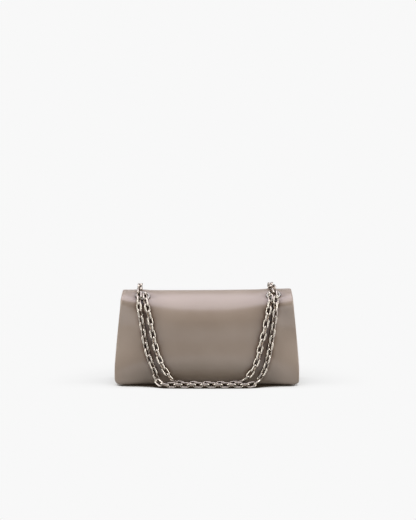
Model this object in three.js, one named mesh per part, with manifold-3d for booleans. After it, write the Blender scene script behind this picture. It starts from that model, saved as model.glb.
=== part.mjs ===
// Mini shoulder bag in smooth padded leather: a pouch of sewn panels, a full-length flap that folds over
// from the back, and one endless chain that runs through four eyelets and lies doubled in front.
// Millimetres, +Z up, the front faces -Y, and the origin is the middle of the base's underside.
import * as THREE from "three";
import { mergeVertices } from "three/addons/utils/BufferGeometryUtils.js";
import Module from "manifold-3d";

const wasm = await Module();
wasm.setup();

// Driving dimensions
const FLAP_THICKNESS = 3.0;
const PANEL_THICKNESS = 2.0;
const GAP = 0.4; // between pieces that are sewn together
const PILLOW = 2.6; // how late a section changes from its mid form to its end form
const LEAN = 0.0066; // how much taller the right end stands than the middle, as a share of its height

const BASE_LENGTH = 204;
const BASE_FRONT = -25.8;
const BASE_BACK = 29;
const BASE_THICKNESS = 2.5;
const BASE_CORNER = 8;

const HEM_CORNER_WIDTH = 0.075; // share of the half width over which the hem's corners are rounded
const HEM_CORNER_RISE = { left: 0.42, right: 0.3 }; // how far up the edges, in stations of the flap's table

const EYELET_BORE = 6.2; // radius
const EYELET_BARREL = 7.0;
const EYELET_FLANGE = 9.1;
const EYELET_HEIGHT = 1.6; // of the flange above the leather
const EYELET_SEAT = 18; // radius round an eyelet inside which the leather flattens
const EYELET_LIFT = 0.4; // how far lower leather there is drawn up to the flange, as a share of the way
// The eyelets in front of the ridge and behind it: the station of the flap's table where a row sits, how far
// it sinks into the padding, its places across, and how far from its axis the chain leans against its bore.
const EYELETS = {
  front: { along: 4.34, sink: 0.8, x: { left: -77.3, right: 80.0 }, exit: { left: 2.6, right: -3.0 } },
  back: { along: 5.86, sink: 1.7, x: { left: -81.0, right: 76.6 }, exit: { left: 0, right: 0 } },
};
const EYELET_SIDES = 16;

const MAGNET_RADIUS = 7;
const MAGNET_THICKNESS = 1.5;
const MAGNET_HEIGHT = 20;

const CHAIN_RADIUS = 2.6; // of the round space that the chain's links fill, each link turned by 45 degrees
const CHAIN_SIDES = 10;
const CHAIN_MEET = 0.3; // between the ends of the two strands

// Shallow dents in the flap's front, and one bulge: a middle, how wide and tall each one is, and how deep.
const DENTS = [
  { x: -96, z: 75, wide: 20, tall: 14, deep: 2.4 },
  { x: 96, z: 73, wide: 20, tall: 16, deep: 3.0 },
  { x: 98, z: 97, wide: 20, tall: 9, deep: -3.4 },
];

// The leather's sections. Each row is one station on the way along a piece: half is the half width there,
// midY and midZ the section at mid width, and endY and endZ the section at the side edge.
const FLAP = surface([
  { at: "hem", half: 110.4, midY: -29.5, midZ: 1.8, endY: -36.0, endZ: 1.8 },
  { at: "belly", half: 110.8, midY: -38.5, midZ: 28.0, endY: -32.8, endZ: 24.0 },
  { at: "waist", half: 108.8, midY: -37.3, midZ: 54.0, endY: -25.0, endZ: 52.0 },
  { at: "shoulder", half: 105.2, midY: -34.0, midZ: 82.0, endY: -25.4, endZ: 87.0 },
  { at: "brow", half: 103.0, midY: -21.0, midZ: 100.5, endY: -22.6, endZ: 105.4 },
  { at: "ridge", half: 101.8, midY: 4.0, midZ: 111.0, endY: 3.0, endZ: 112.6 },
  { at: "nape", half: 101.6, midY: 21.5, midZ: 102.0, endY: 16.0, endZ: 104.5 },
  { at: "seam", half: 103.6, midY: 28.6, midZ: 80.0, endY: 24.0, endZ: 80.0 },
  { at: "tail", half: 104.6, midY: 30.4, midZ: 66.0, endY: 26.4, endZ: 66.0 },
], DENTS);
const FRONT = surface([
  { at: "foot", half: 103.0, midY: -24.0, midZ: 2.9, endY: -27.0, endZ: 2.9 },
  { at: "low", half: 105.0, midY: -27.8, midZ: 14.0, endY: -29.0, endZ: 14.0 },
  { at: "belly", half: 105.6, midY: -32.2, midZ: 30.0, endY: -26.8, endZ: 30.0 },
  { at: "waist", half: 104.0, midY: -31.6, midZ: 54.0, endY: -19.6, endZ: 54.0 },
  { at: "mouth", half: 99.4, midY: -20.0, midZ: 90.0, endY: -12.2, endZ: 90.0 },
]);
const BACK = surface([
  { at: "mouth", half: 100.0, midY: 21.6, midZ: 91.0, endY: 16.6, endZ: 91.0 },
  { at: "lap", half: 103.2, midY: 26.2, midZ: 70.0, endY: 21.8, endZ: 70.0 },
  { at: "waist", half: 106.6, midY: 29.6, midZ: 46.0, endY: 26.4, endZ: 46.0 },
  { at: "low", half: 107.6, midY: 31.2, midZ: 20.0, endY: 29.0, endZ: 20.0 },
  { at: "foot", half: 106.4, midY: 30.2, midZ: 2.9, endY: 29.4, endZ: 2.9 },
]);

// The side gussets, folded inwards: reach is how far out the seams lie, tuck how deep the fold goes.
const GUSSET_ROWS = [
  { z: 2.9, reach: 101.0, tuck: 3 },
  { z: 20, reach: 102.6, tuck: 6 },
  { z: 42, reach: 102.2, tuck: 11 },
  { z: 62, reach: 99.8, tuck: 16 },
  { z: 78, reach: 97.2, tuck: 19 },
];

// The chain's way down the front, from the eyelets to the floor: each row gives a strand's places at one
// height, left and right, and lift, how far its middle stands off the leather.
const CHAIN_LIE = CHAIN_RADIUS + 0.6;
const INNER_ROWS = [
  { z: 94, left: -71.6, right: 75.0, lift: 4.0 },
  { z: 84, left: -68.6, right: 72.0, lift: 3.5 },
  { z: 68, left: -65.7, right: 68.8, lift: CHAIN_LIE },
  { z: 51, left: -62.0, right: 64.5, lift: CHAIN_LIE },
  { z: 35, left: -57.2, right: 61.1, lift: CHAIN_LIE },
  { z: 21, left: -50.9, right: 55.6, lift: CHAIN_LIE },
  { z: 10, left: -42.6, right: 47.0, lift: CHAIN_LIE },
];
const OUTER_ROWS = [
  { z: 94, left: -80.8, right: 82.4, lift: 4.2 },
  { z: 83, left: -78.6, right: 80.4, lift: 3.5 },
  { z: 68, left: -75.9, right: 78.3, lift: CHAIN_LIE },
  { z: 51, left: -73.3, right: 76.2, lift: CHAIN_LIE },
  { z: 35, left: -69.0, right: 73.1, lift: CHAIN_LIE },
  { z: 21, left: -63.4, right: 69.2, lift: CHAIN_LIE },
  { z: 11, left: -60.4, right: 63.9, lift: CHAIN_LIE },
];
// The outer strand's way over the ridge, at stations of the flap's table.
const RIDGE_ROWS = [
  { along: 5.2, left: -81.0, right: 77.0, lift: 5.2 },
  { along: 4.8, left: -81.2, right: 78.6, lift: 5.4 },
  { along: 4.4, left: -81.6, right: 81.8, lift: 5.9 },
  { along: 4.0, left: -81.8, right: 83.0, lift: 5.2 },
];
// The stretch that lies on the floor in front of the bag.
const FLOOR_LIE = CHAIN_RADIUS + 0.1;
const INNER_FLOOR = [
  { y: -40.2, z: 5.4, left: -36.6, right: 39.4 },
  { y: -41.2, z: FLOOR_LIE, left: -28.6, right: 30.6 },
];
const OUTER_FLOOR = [
  { y: -44.8, z: 5.8, left: -57.0, right: 59.0 },
  { y: -47.2, z: FLOOR_LIE, left: -50.5, right: 51.6 },
];
// Inside an eyelet the chain bends round the flange's lip on an arc. Under the flap it runs straight across.
const LIP_OUT = 6.0; // the arc's middle, from the eyelet's axis
const LIP_BEND = 5.4; // the arc's radius
const EYELET_ENTRY = 5.0; // how far inside the flap the chain turns towards the other eyelet
const INSIDE_Z = 98.2;

const leather = new THREE.MeshStandardMaterial({ color: 0x8f8176, roughness: 0.45, metalness: 0 });
const lining = new THREE.MeshStandardMaterial({ color: 0x7c7067, roughness: 0.7, metalness: 0 });
const nickel = new THREE.MeshStandardMaterial({ color: 0xd6cdc0, roughness: 0.22, metalness: 1 });

// Surfaces

function surface(rows, dents = []) {
  const last = rows.length - 1;
  return {
    last,
    dents,
    half: new THREE.SplineCurve(rows.map((row, i) => new THREE.Vector2(row.half, i))),
    mid: new THREE.SplineCurve(rows.map((row) => new THREE.Vector2(row.midY, row.midZ))),
    end: new THREE.SplineCurve(rows.map((row) => new THREE.Vector2(row.endY, row.endZ))),
  };
}

// A point on a surface: across runs from -1 to 1 between the side edges, along counts its stations.
function skin(shape, across, along) {
  const t = along / shape.last;
  const section = shape.mid.getPoint(t).lerp(shape.end.getPoint(t), Math.abs(across) ** PILLOW);
  const height = section.y * (1 + LEAN * across);
  const point = new THREE.Vector3(across * shape.half.getPoint(t).x, section.x, height);
  if (point.y > 0) return point;
  for (const { x, z, wide, tall, deep } of shape.dents) {
    point.y += deep * Math.exp(-(((point.x - x) / wide) ** 2) - ((point.z - z) / tall) ** 2);
  }
  return point;
}

// Two directions in the surface and its normal: to the right, onwards along the stations, and outwards.
function directions(shape, across, along) {
  const step = 0.01;
  const a = Math.min(along, shape.last - step);
  const u = Math.min(across, 1 - step);
  const right = skin(shape, u + step, a).sub(skin(shape, u, a)).normalize();
  const onwards = skin(shape, u, a + step).sub(skin(shape, u, a)).normalize();
  const normal = new THREE.Vector3().crossVectors(right, onwards).normalize();
  return { right, onwards, normal };
}

// The same point, moved inwards by depth.
function inset(shape, across, along, depth) {
  return skin(shape, across, along).addScaledVector(directions(shape, across, along).normal, -depth);
}

// The station where the surface reaches height z at x, between two stations with a steady rise or fall.
function stationAt(shape, x, z, from, to) {
  let [low, high] = [from, to];
  const rising = skin(shape, 0, to).z > skin(shape, 0, from).z;
  for (let i = 0; i < 40; i += 1) {
    const middle = (low + high) / 2;
    const half = shape.half.getPoint(middle / shape.last).x;
    const below = skin(shape, x / half, middle).z < z;
    if (below === rising) low = middle;
    else high = middle;
  }
  return { along: low, across: x / shape.half.getPoint(low / shape.last).x };
}

// Eyelets: where they sit on the flap and which way they face

const RIDGE = 5; // station of the flap's table
const eyeletSeats = {};
for (const [row, { along, sink, x, exit }] of Object.entries(EYELETS)) {
  for (const side of ["left", "right"]) {
    const across = x[side] / FLAP.half.getPoint(along / FLAP.last).x;
    const { onwards, normal } = directions(FLAP, across, along);
    const centre = inset(FLAP, across, along, sink);
    const way = centre.clone().setX(centre.x + exit[side]);
    eyeletSeats[`${row}_${side}`] = { centre, way, normal, onwards };
  }
}

// Leather lies flat under an eyelet's flange and takes up its own curve again a little way off.
function flattened(point, depth) {
  const flat = point.clone();
  for (const { centre, normal } of Object.values(eyeletSeats)) {
    const rise = new THREE.Vector3().subVectors(point, centre).dot(normal) + depth;
    const pull = rise > 0 ? rise : EYELET_LIFT * rise;
    const share = 1 - THREE.MathUtils.smoothstep(point.distanceTo(centre), EYELET_FLANGE, EYELET_SEAT);
    flat.addScaledVector(normal, -pull * share);
  }
  return flat;
}

// Solids

function solid(geometry) {
  const bare = geometry.clone();
  bare.deleteAttribute("normal");
  bare.deleteAttribute("uv");
  const merged = mergeVertices(bare, 1e-4);
  const vertProperties = new Float32Array(merged.attributes.position.array);
  const triVerts = new Uint32Array(merged.index.array);
  return new wasm.Manifold(new wasm.Mesh({ numProp: 3, vertProperties, triVerts }));
}

function geometryOf(manifold) {
  const { vertProperties, triVerts } = manifold.getMesh();
  const geometry = new THREE.BufferGeometry();
  geometry.setAttribute("position", new THREE.BufferAttribute(vertProperties, 3));
  geometry.setIndex(new THREE.BufferAttribute(triVerts, 1));
  geometry.computeVertexNormals();
  return geometry;
}

// A closed sheet: a box of one cell in thickness whose corners are carried to place(across, share, inner).
function sheet(columns, rows, place) {
  const box = new THREE.BoxGeometry(2, 1, 1, columns, rows, 1);
  const corner = new THREE.Vector3();
  const positions = box.attributes.position;
  for (let i = 0; i < positions.count; i += 1) {
    corner.fromBufferAttribute(positions, i);
    const point = place(corner.x, corner.y + 0.5, corner.z < 0);
    positions.setXYZ(i, point.x, point.y, point.z);
  }
  return box;
}

function mesh(name, geometry, material) {
  const made = new THREE.Mesh(geometry, material);
  made.name = name;
  return made;
}

// Leather pieces

function flapGeometry() {
  const columns = 28;
  const rows = 26;
  const whole = sheet(columns, rows, (column, share, inner) => {
    const across = column * (1.25 - 0.25 * column ** 2); // narrower columns towards the side edges
    const corner = Math.max(0, (Math.abs(across) - 1 + HEM_CORNER_WIDTH) / HEM_CORNER_WIDTH);
    const rise = across < 0 ? HEM_CORNER_RISE.left : HEM_CORNER_RISE.right;
    const start = rise * (1 - Math.sqrt(1 - corner ** 2));
    const along = start + share * (FLAP.last - start);
    const depth = inner ? FLAP_THICKNESS : 0;
    return flattened(inset(FLAP, across, along, depth), depth);
  });
  const holeRadius = EYELET_BARREL + GAP;
  const holeLength = 4 * FLAP_THICKNESS;
  const holes = Object.values(eyeletSeats).map(({ centre, normal }) => {
    const drill = new THREE.CylinderGeometry(holeRadius, holeRadius, holeLength, EYELET_SIDES);
    return solid(drill.applyMatrix4(standing(centre, normal)));
  });
  return geometryOf(holes.reduce((left, hole) => left.subtract(hole), solid(whole)));
}

// Places a piece made round the Y axis so that it stands on a surface at centre, with its axis along normal.
function standing(centre, normal) {
  const turn = new THREE.Quaternion().setFromUnitVectors(new THREE.Vector3(0, 1, 0), normal);
  return new THREE.Matrix4().compose(centre, turn, new THREE.Vector3(1, 1, 1));
}

function panelGeometry(shape) {
  return sheet(14, 8, (across, share, inner) =>
    inset(shape, across, share * shape.last, inner ? PANEL_THICKNESS : 0),
  );
}

function gussetGeometry(sign) {
  const last = GUSSET_ROWS.length - 1;
  const seam = PANEL_THICKNESS + 2 * GAP;
  return sheet(6, last, (across, share, inner) => {
    const { z, reach, tuck } = GUSSET_ROWS[Math.round(share * last)];
    const fold = (1 - across ** 2) ** 1.5;
    const x = sign * (reach - tuck * fold - (inner ? PANEL_THICKNESS : 0));
    const front = stationAt(FRONT, x, z, 0, FRONT.last);
    const back = stationAt(BACK, x, z, 0, BACK.last);
    const frontY = inset(FRONT, front.across, front.along, seam).y;
    const backY = inset(BACK, back.across, back.along, seam).y;
    return new THREE.Vector3(x, THREE.MathUtils.lerp(frontY, backY, (1 + sign * across) / 2), z);
  });
}

function baseGeometry() {
  const [x, r] = [BASE_LENGTH / 2, BASE_CORNER];
  const outline = new THREE.Shape();
  outline.absarc(x - r, BASE_FRONT + r, r, -Math.PI / 2, 0);
  outline.absarc(x - r, BASE_BACK - r, r, 0, Math.PI / 2);
  outline.absarc(-x + r, BASE_BACK - r, r, Math.PI / 2, Math.PI);
  outline.absarc(-x + r, BASE_FRONT + r, r, Math.PI, 1.5 * Math.PI);
  return new THREE.ExtrudeGeometry(outline, { depth: BASE_THICKNESS, bevelEnabled: false, curveSegments: 4 });
}

// Metal pieces

function eyeletGeometry({ centre, normal }) {
  const lip = 0.35;
  const profile = [
    [EYELET_BORE, -FLAP_THICKNESS - EYELET_HEIGHT],
    [EYELET_BARREL, -FLAP_THICKNESS - EYELET_HEIGHT],
    [EYELET_BARREL, lip],
    [EYELET_FLANGE, lip],
    [(EYELET_BORE + EYELET_FLANGE) / 2, EYELET_HEIGHT],
    [EYELET_BORE, EYELET_HEIGHT - lip],
    [EYELET_BORE, -FLAP_THICKNESS - EYELET_HEIGHT],
  ].map(([radius, height]) => new THREE.Vector2(radius, height));
  return new THREE.LatheGeometry(profile, EYELET_SIDES).applyMatrix4(standing(centre, normal));
}

function magnetGeometry() {
  const { along } = stationAt(FLAP, 0, MAGNET_HEIGHT, 0, RIDGE);
  const { normal } = directions(FLAP, 0, along);
  const centre = inset(FLAP, 0, along, FLAP_THICKNESS + 2 * GAP + MAGNET_THICKNESS / 2);
  const disc = new THREE.CylinderGeometry(MAGNET_RADIUS, MAGNET_RADIUS, MAGNET_THICKNESS, EYELET_SIDES);
  return disc.applyMatrix4(standing(centre, normal));
}

// The chain's route

// Out of an eyelet: from inside the flap, round the flange's lip and towards the hem.
function outOfEyelet({ way, normal, onwards }) {
  const at = (out, up) => way.clone().addScaledVector(onwards, -out).addScaledVector(normal, up);
  const lip = [180, 150, 120, 90].map((degrees) => {
    const turn = THREE.MathUtils.degToRad(degrees);
    return at(LIP_OUT + LIP_BEND * Math.cos(turn), LIP_BEND * Math.sin(turn));
  });
  return [at(0.8, -EYELET_ENTRY), ...lip];
}

function overTheRidge(side) {
  return RIDGE_ROWS.map(({ along, lift, ...x }) => {
    const across = x[side] / FLAP.half.getPoint(along / FLAP.last).x;
    return inset(FLAP, across, along, -lift);
  });
}

function downTheFront(rows, side, floor) {
  const points = rows.map(({ z, lift, ...x }) => {
    const { across, along } = stationAt(FLAP, x[side], z, 0, RIDGE);
    return inset(FLAP, across, along, -lift);
  });
  // Below the belly the chain hangs straight down instead of following the leather under.
  points.forEach((point, i) => {
    if (i === 0 || point.y < points[i - 1].y) return;
    point.y = points[i - 1].y;
    point.z = rows[i].z;
  });
  const lying = floor.map(({ y, z, ...x }) => new THREE.Vector3(x[side], y, z));
  return [...points, ...lying];
}

// The two strands meet under the flap, end to end, halfway between the eyelets of each side.
function meetingPoint(side, towards) {
  const [front, back] = [eyeletSeats[`front_${side}`].way, eyeletSeats[`back_${side}`].way];
  const middle = front.clone().lerp(back, 0.5).setZ(INSIDE_Z);
  const start = middle.clone().setY(middle.y + (towards * CHAIN_MEET) / 2);
  const onwards = middle.clone().setY(middle.y + towards * CHAIN_RADIUS);
  return [start, onwards];
}

function innerRoute(side) {
  return [
    ...meetingPoint(side, -1),
    ...outOfEyelet(eyeletSeats[`front_${side}`]),
    ...downTheFront(INNER_ROWS, side, INNER_FLOOR),
  ];
}

function outerRoute(side) {
  return [
    ...meetingPoint(side, 1),
    ...outOfEyelet(eyeletSeats[`back_${side}`]),
    ...overTheRidge(side),
    ...downTheFront(OUTER_ROWS, side, OUTER_FLOOR),
  ];
}

// A curve that is stepped from point to point of its route, so that tight bends get short steps.
class RouteCurve extends THREE.CatmullRomCurve3 {
  getUtoTmapping(share) {
    return share;
  }
}

function strandGeometry(route) {
  const points = [...route("left"), ...route("right").reverse()];
  const section = new THREE.Shape();
  section.absarc(0, 0, CHAIN_RADIUS, 0, 2 * Math.PI);
  return new THREE.ExtrudeGeometry(section, {
    extrudePath: new RouteCurve(points, false, "centripetal"),
    steps: points.length - 1,
    curveSegments: CHAIN_SIDES / 2,
    bevelEnabled: false,
  });
}

// The bag

const bag = new THREE.Group();

const pouch = new THREE.Group();
pouch.add(mesh("base_panel", baseGeometry(), leather));
pouch.add(mesh("front_panel", panelGeometry(FRONT), lining));
pouch.add(mesh("back_panel", panelGeometry(BACK), leather));
pouch.add(mesh("gusset_left", gussetGeometry(-1), leather));
pouch.add(mesh("gusset_right", gussetGeometry(1), leather));
pouch.add(mesh("magnet_closure", magnetGeometry(), nickel));
bag.add(pouch);

bag.add(mesh("flap", flapGeometry(), leather));
for (const [place, seat] of Object.entries(eyeletSeats)) {
  bag.add(mesh(`eyelet_${place}`, eyeletGeometry(seat), nickel));
}

bag.add(mesh("chain_inner_strand", strandGeometry(innerRoute), nickel));
bag.add(mesh("chain_outer_strand", strandGeometry(outerRoute), nickel));

export default bag;
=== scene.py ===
"""Mini shoulder bag: padded leather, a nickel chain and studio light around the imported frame."""
import math

import bmesh
import bpy
import numpy as np
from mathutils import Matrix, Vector


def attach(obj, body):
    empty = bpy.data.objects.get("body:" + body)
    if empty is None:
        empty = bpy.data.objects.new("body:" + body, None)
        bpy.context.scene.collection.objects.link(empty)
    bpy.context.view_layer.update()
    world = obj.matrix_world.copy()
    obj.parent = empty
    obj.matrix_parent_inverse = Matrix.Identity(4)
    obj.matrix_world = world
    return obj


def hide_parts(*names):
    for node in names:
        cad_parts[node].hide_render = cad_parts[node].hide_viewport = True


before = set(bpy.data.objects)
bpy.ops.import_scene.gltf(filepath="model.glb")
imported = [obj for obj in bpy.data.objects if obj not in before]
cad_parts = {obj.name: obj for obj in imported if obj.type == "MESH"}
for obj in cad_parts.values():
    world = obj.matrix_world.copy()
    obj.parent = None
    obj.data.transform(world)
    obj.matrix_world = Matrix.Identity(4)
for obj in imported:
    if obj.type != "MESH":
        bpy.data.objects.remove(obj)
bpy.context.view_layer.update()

MM = 0.001  # sizes below are in millimetres, but for the studio, the floor and the finishes

# Camera, as the photograph was taken
PHOTO_HEIGHT = 520  # pixels
PIXEL = 1.194  # millimetres at the bag
CAMERA_ELEVATION = 7.0  # degrees
CAMERA_DISTANCE = 2500.0
CAMERA_TARGET = (1.3, -30.0, 152.0)
SENSOR = 36.0

# Studio, in metres: each softbox's place and aim, its size, its colour and its power in watts
ROOM_LIGHT = 0.12
SOFTBOXES = {
    "overhead": ((0.0, 0.05, 1.2), (0.0, 0.05, 0.0), (1.6, 1.5), (0.98, 0.925, 1.06), 16.0),
    "left": ((-2.45, -0.8, 1.0), (0.0, 0.0, 0.06), (1.9, 1.9), (1.0, 1.0, 1.0), 53.0),
    "right": ((2.45, -0.8, 1.0), (0.0, 0.0, 0.06), (1.9, 1.9), (1.0, 1.0, 1.0), 53.0),
}
# The floor's half width, how far back it turns up into a wall, and the bend between them
SWEEP_HALF = 5.0
SWEEP_WALL = 2.4
SWEEP_TOP = 4.0
SWEEP_BEND = 0.9
SWEEP_STEPS = 12

# The floor, with distances from the bag's middle in metres. Close to the bag its colour is darker, a
# painted shadow for the light that bounces off it.
FLOOR_NEAR = 0.21  # how much the floor throws back close to the bag, and further off
FLOOR_FAR = 0.8
FLOOR_NEAR_TO_FAR = (0.09, 0.24)
FLOOR_MIRRORED = 0.5  # how much of its even tone shows in glossy surfaces close by
FLOOR_MIRRORED_FADE = (0.15, 0.5)
FLOOR_ROUGHNESS = 0.9
# The floor's painted shadow: its tone, from shut in under the bag to open
SHADE_REACH = 0.024
FLOOR_SHADE = [
    (0.0, 0.015),
    (0.49, 0.02),
    (0.55, 0.12),
    (0.6, 0.75),
    (0.72, 0.88),
    (0.92, 0.92),
    (1.0, 0.939),
]
# The wide soft shade beside and behind the bag, and the depths between which it sets in
SOFT_REACH = 0.1
SOFT_SHADE = [(0.4, 0.75), (1.0, 1.0)]
SOFT_START = (-0.05, -0.012)
SHADE_SAMPLES = 16

# How dark the painted shade in close corners is: the share that is open to the room, and what is left
# of the colour there
LEATHER_PAINTED_SHADE = [(0.0, 0.01), (0.5, 0.05), (0.8, 0.5), (0.97, 1.0)]
METAL_PAINTED_SHADE = [(0.0, 0.01), (0.4, 0.04), (0.65, 0.6), (0.85, 1.0)]
# How brown the dark ends of these painted shades and of the floor's painted shadow are
PAINTED_SHADE_WARMTH = 0.27
SHADE_WARMTH = 0.1
PAINTED_SHADE_SAMPLES = 8

# Finishes, with the sizes and depths of their grain in metres
TAUPE_LEATHER = {
    "dark": (0.281, 0.22, 0.163),
    "light": (0.322, 0.256, 0.194),
    "roughness": 0.32,
    "specular": 0.9,
    "coat": 0.35,
    "grain_size": 0.0011,
    "grain_depth": 0.00012,
}
LINING_LEATHER = {
    "dark": (0.19, 0.155, 0.13),
    "light": (0.22, 0.18, 0.15),
    "roughness": 0.7,
    "specular": 0.4,
    "coat": 0.0,
    "grain_size": 0.0007,
    "grain_depth": 0.00008,
}
HIDE_TONE_SIZE = 0.06
HIDE_DRIFT = 0.03  # how far the roughness drifts over the hide
NOISE_ENDS = (0.3, 0.7)  # most of a noise's values lie between these
# The leather's painted shade beside what lies on it looks this far round a spot
LEATHER_REACH = 0.006  # how far from a spot the leather's corners count as close
COAT_ROUGHNESS = 0.28
# Each metal's reach is how far round a spot its painted shade between parts looks
CHAIN_NICKEL = {"reach": 0.006, "colour": (0.6, 0.55, 0.475), "roughness": 0.18}
EYELET_NICKEL = {"reach": 0.001, "colour": (0.49, 0.47, 0.41), "roughness": 0.24}
SMUDGE_SIZE = 0.006
SMUDGE_TINT = 0.9
SMUDGE_ROUGHNESS = 0.12
THREAD_DARK = (0.16, 0.125, 0.1)
THREAD_LIGHT = (0.27, 0.215, 0.175)
THREAD_ROUGHNESS = 0.55
THREAD_RELIEF = 0.0001

# Leather. A piece's size is its width and its length over the skin, and its step the mesh's spacing.
FLAP_SIZE = (212.0, 190.0)
FLAP_STEP = 1.6
PANEL_SIZE = (208.0, 90.0)
FRONT_STEP = 3.0
BACK_STEP = 2.0
GUSSET_SIZE = (58.0, 78.0)
GUSSET_STEP = 2.0
BASE_STEP = 4.0
FLAP_THICKNESS = 3.0
PANEL_THICKNESS = 2.0
GAP = 0.4
PILLOW = 2.6  # how late a section changes from its mid form to its end form
LEAN = 0.0066  # how much taller the right end stands than the middle, as a share of its height
HEM_CORNER_WIDTH = 0.075
HEM_CORNER_RISE = {"left": 0.42, "right": 0.3}
FLAP_RIM = 3.6  # how far in from its edges the padded flap is rounded
PANEL_RIM = 1.4
RIM_POINTS = 7  # of the mesh across a rounded rim
HOLE_SIDES = 40
BASE_LENGTH = 204.0
BASE_FRONT = -25.8
BASE_BACK = 29.0
BASE_THICKNESS = 2.5
BASE_CORNER = 8.0

# The seam of the flap's tail: its stitches, how far across it runs and how far from the end it lies
STITCH_PITCH = 3.6
STITCH_LENGTH = 2.9
STITCH_THREAD = 0.7
STITCH_LIFT = 0.05
SEAM_ACROSS = 0.965  # as a share of the half width
SEAM_IN = 0.33  # in stations of the flap
SEAM_POINTS = 120

# Eyelets: radii, and places by row and side, with EYELET_AT in stations of the flap
EYELET_BORE = 6.2
EYELET_BARREL = 7.0
EYELET_FLANGE = 9.1
EYELET_HEIGHT = 1.6
EYELET_WALL = 0.16  # half the barrel's wall, as a share of the flange's breadth
EYELET_SEAT = 18.0  # how far out the leather takes up its own curve again
EYELET_LIFT = 0.4  # the share by which leather below a seat is raised to it
RING_SIDES = 56
RING_SECTION_SIDES = 14
EYELET_X = {"front": {"left": -77.3, "right": 80.0}, "back": {"left": -81.0, "right": 76.6}}
EYELET_AT = {"front": 4.34, "back": 5.86}
EYELET_SINK = {"front": 0.8, "back": 1.7}  # how far below the flap's own curve the seats lie

# Chain
LINK_WIDTH = 7.8
LINK_WIRE = 2.2
LINK_SIDES = 9
LINK_CORNER = 0.4999  # a corner's radius as a share of the width, just short of a half
LINK_CORNER_STEPS = 5
LINK_PITCH = 7.95
LINK_LEAN = 38.0  # degrees that every second link leans, with the others a quarter turn from it
FIRST_LINK = 2  # how many steps of the route before its start the first link lies
ROUTE_STEPS = 12  # from one point of the route to the next
CHAIN_LIE = 3.3  # how far the links' middle stands off the leather, and off the floor
FLOOR_LIE = 3.62
# On the floor every second link leans back and shows its hole to the front
INNER_FACING = (0.0, -0.09, 0.996)
OUTER_FACING = (0.0, -0.33, 0.945)

# The leather's sections. Each row is one station on the way along a piece: the half width there,
# the section at mid width and the section at the side edge.
SECTION = ("half", "mid_y", "mid_z", "end_y", "end_z")
FLAP_ROWS = {
    "hem": (110.4, -29.5, 1.8, -36.0, 1.8),
    "belly": (110.8, -38.5, 28.0, -32.8, 24.0),
    "waist": (108.8, -37.3, 54.0, -25.0, 52.0),
    "shoulder": (105.2, -34.0, 82.0, -25.4, 87.0),
    "brow": (103.0, -21.0, 100.5, -22.6, 105.4),
    "ridge": (101.8, 4.0, 111.0, 3.0, 112.6),
    "nape": (101.6, 21.5, 102.0, 16.0, 104.5),
    "seam": (103.6, 28.6, 80.0, 24.0, 80.0),
    "tail": (104.6, 30.4, 66.0, 26.4, 66.0),
}
FRONT_ROWS = {
    "foot": (103.0, -24.0, 2.9, -27.0, 2.9),
    "low": (105.0, -27.8, 14.0, -29.0, 14.0),
    "belly": (105.6, -32.2, 30.0, -26.8, 30.0),
    "waist": (104.0, -31.6, 54.0, -19.6, 54.0),
    "mouth": (99.4, -20.0, 90.0, -12.2, 90.0),
}
BACK_ROWS = {
    "mouth": (100.0, 21.6, 91.0, 16.6, 91.0),
    "lap": (103.2, 26.2, 70.0, 21.8, 70.0),
    "waist": (106.6, 29.6, 46.0, 26.4, 46.0),
    "low": (107.6, 31.2, 20.0, 29.0, 20.0),
    "foot": (106.4, 30.2, 2.9, 29.4, 2.9),
}
RIDGE = list(FLAP_ROWS).index("ridge")

# Shallow dents in the flap's front, and one bulge: a middle, how wide and tall each is, and how deep.
DENT = ("x", "z", "wide", "tall", "deep")
DENTS = [
    (-96.0, 75.0, 20.0, 14.0, 2.4),
    (96.0, 73.0, 20.0, 16.0, 3.0),
    (98.0, 97.0, 20.0, 9.0, -3.4),
]

# The side gussets, folded inwards: how far out the seams lie and how deep the fold goes, by height.
GUSSET = ("z", "reach", "tuck")
GUSSET_ROWS = [
    (2.9, 101.0, 3.0),
    (20.0, 102.6, 6.0),
    (42.0, 102.2, 11.0),
    (62.0, 99.8, 16.0),
    (78.0, 97.2, 19.0),
]
GUSSET_FOLD = 1.5  # how narrow the fold is

# The chain's way down the front: height, the strand's places left and right, and how far it stands
# off the leather.
STRAND = ("z", "left", "right", "lift")
INNER_ROWS = [
    (94.0, -71.6, 75.0, 4.0),
    (84.0, -68.6, 72.0, 3.5),
    (68.0, -65.7, 68.8, CHAIN_LIE),
    (51.0, -62.0, 64.5, CHAIN_LIE),
    (35.0, -57.2, 61.1, CHAIN_LIE),
    (21.0, -50.9, 55.6, CHAIN_LIE),
    (10.0, -42.6, 47.0, CHAIN_LIE),
]
OUTER_ROWS = [
    (94.0, -80.8, 82.4, 4.2),
    (83.0, -78.6, 80.4, 3.5),
    (68.0, -75.9, 78.3, CHAIN_LIE),
    (51.0, -73.3, 76.2, CHAIN_LIE),
    (35.0, -69.0, 73.1, CHAIN_LIE),
    (21.0, -63.4, 69.2, CHAIN_LIE),
    (11.0, -60.4, 63.9, CHAIN_LIE),
]
# The outer strand's way over the ridge, at stations of the flap.
OVER_RIDGE = ("along", "left", "right", "lift")
RIDGE_ROWS = [
    (5.2, -81.0, 77.0, 5.2),
    (4.8, -81.2, 78.6, 5.4),
    (4.4, -81.6, 81.8, 5.9),
    (4.0, -81.8, 83.0, 5.2),
]
# The stretch that lies on the floor in front of the bag.
LYING = ("y", "z", "left", "right")
INNER_FLOOR = [
    (-40.2, 5.4, -36.6, 39.4),
    (-41.2, FLOOR_LIE, -28.6, 30.6),
]
OUTER_FLOOR = [
    (-44.8, 5.8, -57.0, 59.0),
    (-47.2, FLOOR_LIE, -50.5, 51.6),
]
LIP_OUT = 6.0  # the chain bends round a flange's lip on an arc: its middle and its radius
LIP_BEND = 5.4
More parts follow.
